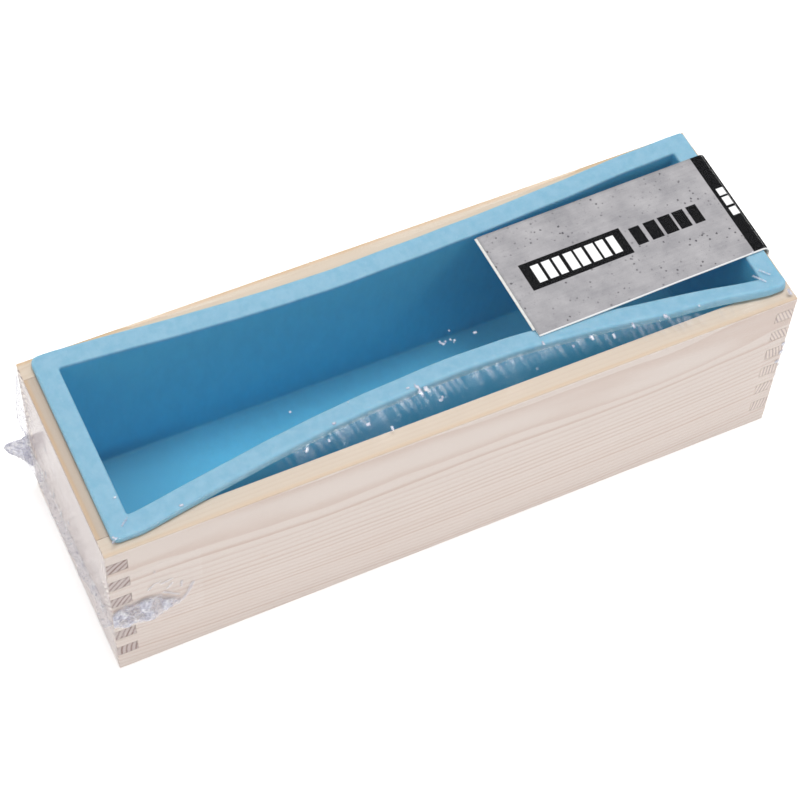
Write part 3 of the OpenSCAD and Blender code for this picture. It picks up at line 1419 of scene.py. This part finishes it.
        # The arc marks add painted highlights to the ear's milk.
        crease = np.clip(np.maximum(milky, np.maximum(ridge * 0.5, folds * 0.36)) + haze, 0, 1)
        out = 0.22 + inside * (0.8 + 0.45 * broad + 0.25 * rough) + 0.4 * ridge + 0.2 * folds
        y = -(self.half_w + self.clear + out)
        return self.sheet("film_folded_ear", np.stack([x, y, z], -1), (0, -self.thick, 0), crease)

    def ends(self) -> list[bpy.types.Object]:
        """The seals and ears at both ends.

        Returns:
            The pieces.
        """
        left = [(-45, 35.5), (-34, 35.0), (-12, 31.0), (10, 27.5), (28, 25.0), (45, 26.5)]
        right = [(-45, 30.0), (0, 32.0), (45, 30.0)]
        pieces = [
            self.fin("film_seal_left", -1.0, left, 61),
            self.fin("film_seal_right", 1.0, right, 71),
            self.dog_ear("film_ear_back_left", (-140.2, 45.0, 24.0), (-149.6, 48.6, 26.6),
                         12.5, 81),
            self.dog_ear("film_web_back_left", (-140.1, 45.0, 53.0), (-142.6, 46.6, 46.0),
                         27.0, 85, 0.42),
            self.dog_ear("film_ear_back_right", (140.2, 45.0, 30.0), (146.5, 47.5, 31.0),
                         12.0, 83),
            self.folded_ear()]
        for piece in pieces:
            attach(piece, "box")
            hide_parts("film_wrap")
        return pieces

    def _ring(self, half_l: float, half_w: float) -> np.ndarray:
        """Points round a rectangle, with the direction outward at each."""
        points = []
        for start, goal, out, count in (
            ((-1, -1), (1, -1), (0, -1), 280), ((1, -1), (1, 1), (1, 0), 90),
            ((1, 1), (-1, 1), (0, 1), 280), ((-1, 1), (-1, -1), (-1, 0), 90)):
            for share in np.linspace(0, 1, count, endpoint=False):
                x = (start[0] + (goal[0] - start[0]) * share) * half_l
                y = (start[1] + (goal[1] - start[1]) * share) * half_w
                points.append((x, y, *out))
        return np.array(points)

    def build(
        self, supports: Sequence[bpy.types.Object], liner: SiliconeLiner
    ) -> list[bpy.types.Object]:
        """Builds every part of the film and dresses it.

        Args:
            supports: the pieces under the top sheet.
            liner: the liner.

        Returns:
            The film's pieces.
        """
        pieces = [self.top_sheet(supports, liner), self.wrap(), *self.ends()]
        LOG.info("built the shrink film: %d pieces", len(pieces))
        return pieces


@dataclass
class Studio:
    """A white table, soft white light, and the camera."""

    azimuth: float = -28.152
    elevation: float = 55.789
    roll: float = 3.597
    distance: float = 914.454
    aim: tuple[float, float, float] = (4.735, 16.218, 11.441)
    lens: float = 102.3
    air: float = 0.49
    table_glow: float = 0.47

    def floor(self) -> None:
        """Lays a wide pale floor whose edge is far away."""
        s = Shader("studio_white")
        grain = s.noise(s.place(), 0.01, 2.0)
        colour = s.mix((0.90, 0.90, 0.90), (0.94, 0.94, 0.94), grain)
        material = s.finish(s.body(
            base_color=colour, roughness=0.9, specular_ior_level=0.1,
            emission_color=(1.0, 1.0, 1.0), emission_strength=self.table_glow))
        grid = np.linspace(-6000.0, 6000.0, 9)
        x, y = np.meshgrid(grid, grid, indexing="ij")
        top = np.stack([x, y, np.zeros_like(x)], -1)
        piece = slab("studio_floor", top, top - np.array([0.0, 0.0, 20.0]), [material])

    def lights(self) -> None:
        """Hangs the soft lights, and fills the rest with an even white."""
        world = bpy.data.worlds.new("studio_air")
        bpy.context.scene.world = world
        world.use_nodes = True
        air = world.node_tree.nodes["Background"]
        air.inputs["Color"].default_value = (1.0, 1.0, 1.0, 1.0)
        air.inputs["Strength"].default_value = self.air
        for name, place, size, power in (
            ("softbox_high", (0.10, 0.10, 2.0), 0.8, 23.0),
            ("softbox_left", (-1.7, -0.3, 1.3), 0.6, 1.2),
            ("softbox_front", (0.9, -1.5, 1.5), 0.35, 3.0)):
            lamp = bpy.data.lights.new(name, "AREA")
            lamp.size, lamp.energy = size, power
            holder = bpy.data.objects.new(name, lamp)
            holder.location = place
            holder.rotation_mode = "QUATERNION"
            toward = Vector((0, 0, 0.04)) - Vector(place)
            holder.rotation_quaternion = toward.to_track_quat("-Z", "Y")
            bpy.context.scene.collection.objects.link(holder)

    def camera(self) -> None:
        """Stands the camera where it sees the mould from above its left front corner."""
        a, e, r = (math.radians(v) for v in (self.azimuth, self.elevation, self.roll))
        back = Vector((math.sin(a) * math.cos(e), -math.cos(a) * math.cos(e), math.sin(e)))
        right = (-back).cross(Vector((0, 0, 1))).normalized()
        up = right.cross(-back)
        right, up = right * math.cos(r) + up * math.sin(r), up * math.cos(r) - right * math.sin(r)
        data = bpy.data.cameras.new("camera")
        data.sensor_width, data.lens = 36.0, self.lens
        data.clip_start, data.clip_end = 0.05, 30.0
        holder = bpy.data.objects.new("camera", data)
        spot = (Vector(self.aim) + back * self.distance) * MM
        turned = Matrix((right, up, back)).transposed().to_4x4()
        holder.matrix_world = Matrix.Translation(spot) @ turned
        bpy.context.scene.collection.objects.link(holder)
        bpy.context.scene.camera = holder

    def build(self) -> None:
        """Sets up the whole studio."""
        self.floor()
        self.lights()
        self.camera()
        scene = bpy.context.scene
        scene.view_settings.view_transform = "Standard"
        scene.cycles.transparent_max_bounces = 40
        LOG.info("set up the studio")


def main() -> None:
    """Builds the mould's looks in order."""
    logging.basicConfig(level=logging.INFO, format="%(name)s: %(message)s")
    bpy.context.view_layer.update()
    WoodenBox().build()
    liner = SiliconeLiner()
    shell = liner.build()
    plies = CardLabel().build()
    ShrinkFilm().build([shell, *plies], liner)
    Studio().build()


if __name__ == "__main__":
    main()
